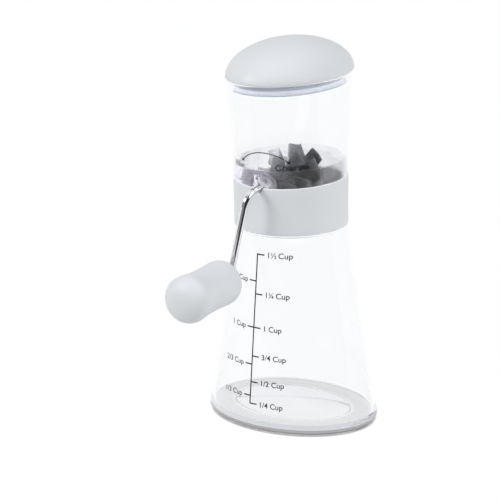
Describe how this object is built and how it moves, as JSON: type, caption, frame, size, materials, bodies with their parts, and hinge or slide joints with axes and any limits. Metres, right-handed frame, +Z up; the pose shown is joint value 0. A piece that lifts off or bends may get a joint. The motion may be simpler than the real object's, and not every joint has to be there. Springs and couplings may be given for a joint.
{
  "type": "nut chopper",
  "caption": "Hand-cranked nut chopper: clear oval jar with a collar, a steel star-wheel rotor on a bent wire crank, a clear hopper and a domed lid.",
  "frame": {"origin": "on the table under the jar's axis, at the middle of the foot's flat underside", "axes": "+Z up along the jar's axis; the crank shaft runs along Y with the crank at -Y; X runs across the shaft"},
  "size_m": [0.096, 0.1347, 0.2052],
  "materials": {
    "clear_plastic": "crystal-clear moulded plastic",
    "foot_plastic": "translucent soft non-skid plastic",
    "pale_plastic": "pale grey moulded plastic, satin gloss",
    "smoke_plastic": "clear smoke-tinted moulded plastic",
    "comb_plastic": "pale moulded plastic",
    "bush_plastic": "low-friction natural plastic",
    "seal_plastic": "translucent bluish seal",
    "chromed_wire": "bright chromed wire",
    "wheel_steel": "stamped steel sheet, lightly brushed"
  },
  "bodies": {
    "jar": {"container": "clear_plastic", "base_foot": "foot_plastic"},
    "head": {"collar": "pale_plastic", "chopping_chamber": "smoke_plastic", "comb_left": "comb_plastic", "comb_right": "comb_plastic", "comb_screws": "wheel_steel", "front_bush": "bush_plastic", "rear_bush": "bush_plastic"},
    "crank": {"crank_rod": "chromed_wire", "spacer_front": "wheel_steel", "star_wheel_front": "wheel_steel", "spacer_mid_front": "wheel_steel", "star_wheel_mid_front": "wheel_steel", "spacer_middle": "wheel_steel", "star_wheel_mid_rear": "wheel_steel", "spacer_mid_rear": "wheel_steel", "star_wheel_rear": "wheel_steel", "spacer_rear": "wheel_steel", "thrust_washer": "wheel_steel", "shaft_clip": "wheel_steel", "knob_clip": "wheel_steel"},
    "grip": {"knob": "pale_plastic", "knob_core": "bush_plastic"},
    "hopper": {"hopper": "clear_plastic"},
    "lid": {"lid": "pale_plastic", "lid_gasket": "seal_plastic"}
  },
  "joints": [
    {"name": "head_lift", "type": "slide", "parent": "jar", "child": "head", "axis": [0, 0, 1], "range_m": [0, 0.04]},
    {"name": "crank_turn", "type": "hinge", "parent": "head", "child": "crank", "pos_m": [0, 0, 0.1327], "axis": [0, 1, 0], "continuous": true},
    {"name": "knob_spin", "type": "hinge", "parent": "crank", "child": "grip", "pos_m": [-0.0112, -0.06, 0.08603], "axis": [0, 1, 0], "continuous": true},
    {"name": "hopper_lift", "type": "slide", "parent": "head", "child": "hopper", "axis": [0, 0, 1], "range_m": [0, 0.05]},
    {"name": "lid_lift", "type": "slide", "parent": "hopper", "child": "lid", "axis": [0, 0, 1], "range_m": [0, 0.04]}
  ]
}
